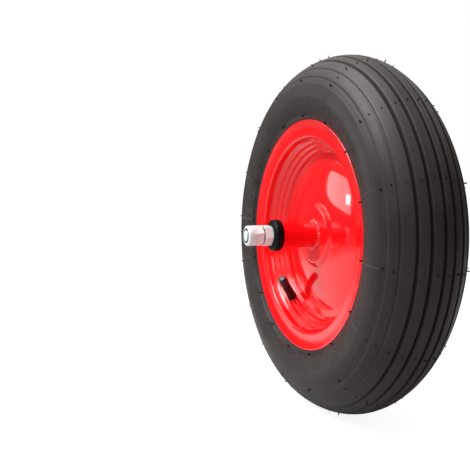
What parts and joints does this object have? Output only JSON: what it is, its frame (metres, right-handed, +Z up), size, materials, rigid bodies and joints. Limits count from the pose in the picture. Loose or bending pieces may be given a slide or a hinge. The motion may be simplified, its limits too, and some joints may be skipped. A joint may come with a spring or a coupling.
{
  "type": "wheelbarrow wheel",
  "caption": "Pneumatic barrow wheel: ribbed tyre on a pressed red steel rim, hub tube with ball bearings, nutted axle and a side valve.",
  "frame": {"origin": "the wheel's centre: the middle of the axle, in the tyre's middle plane", "axes": "+Y along the axle away from the valve side, +Z up, X across; the valve faces -Y"},
  "size_m": [0.36, 0.177, 0.36],
  "materials": {
    "tyre": "moulded rubber, dark grey with a soft sheen",
    "tube_rubber": "smooth dull rubber",
    "rim_paint": "glossy red powder coat",
    "race_steel": "hardened steel, oiled",
    "cap_black": "glossy black",
    "cage_steel": "pressed steel strip",
    "ball_steel": "polished bearing steel",
    "zinc_steel": "bright zinc plating",
    "nylon": "natural nylon",
    "valve_rubber": "moulded rubber",
    "valve_brass": "turned brass",
    "valve_plastic": "moulded plastic"
  },
  "bodies": {
    "axle_set": {"axle": "zinc_steel", "bearing_cone_left": "race_steel", "bearing_cone_right": "race_steel", "inner_nut_left": "zinc_steel", "inner_nut_right": "zinc_steel", "lock_nut_left": "zinc_steel", "lock_nut_right": "zinc_steel", "nut_insert_left": "nylon", "nut_insert_right": "nylon"},
    "wheel": {"tyre": "tyre", "inner_tube": "tube_rubber", "rim_half_valve_side": "rim_paint", "rim_half_plain_side": "rim_paint", "hub_tube": "rim_paint", "hub_welds": "rim_paint", "bearing_cup_left": "race_steel", "bearing_cup_right": "race_steel", "dust_cap_left": "cap_black", "dust_cap_right": "cap_black", "valve_stem": "valve_rubber", "valve_sleeve": "valve_brass", "valve_core": "valve_brass"},
    "ball_set_left": {"ball_cage_left": "cage_steel", "bearing_balls_left": "ball_steel"},
    "ball_set_right": {"ball_cage_right": "cage_steel", "bearing_balls_right": "ball_steel"},
    "cap_of_valve": {"valve_cap": "valve_plastic"}
  },
  "joints": [
    {"name": "wheel_spin", "type": "hinge", "parent": "axle_set", "child": "wheel", "pos_m": [0, 0, 0], "axis": [0, 1, 0], "continuous": true},
    {"name": "ball_set_left_roll", "type": "hinge", "parent": "axle_set", "child": "ball_set_left", "pos_m": [0, 0, 0], "axis": [0, 1, 0], "continuous": true},
    {"name": "ball_set_right_roll", "type": "hinge", "parent": "axle_set", "child": "ball_set_right", "pos_m": [0, 0, 0], "axis": [0, 1, 0], "continuous": true},
    {"name": "valve_cap_off", "type": "slide", "parent": "wheel", "child": "cap_of_valve", "axis": [0.4886, -0.5837, 0.6485], "range_m": [0, 0.012]}
  ],
  "couplings": [
    {"joint": "ball_set_left_roll", "follows": "wheel_spin", "ratio": 0.6123},
    {"joint": "ball_set_right_roll", "follows": "wheel_spin", "ratio": 0.6123}
  ]
}
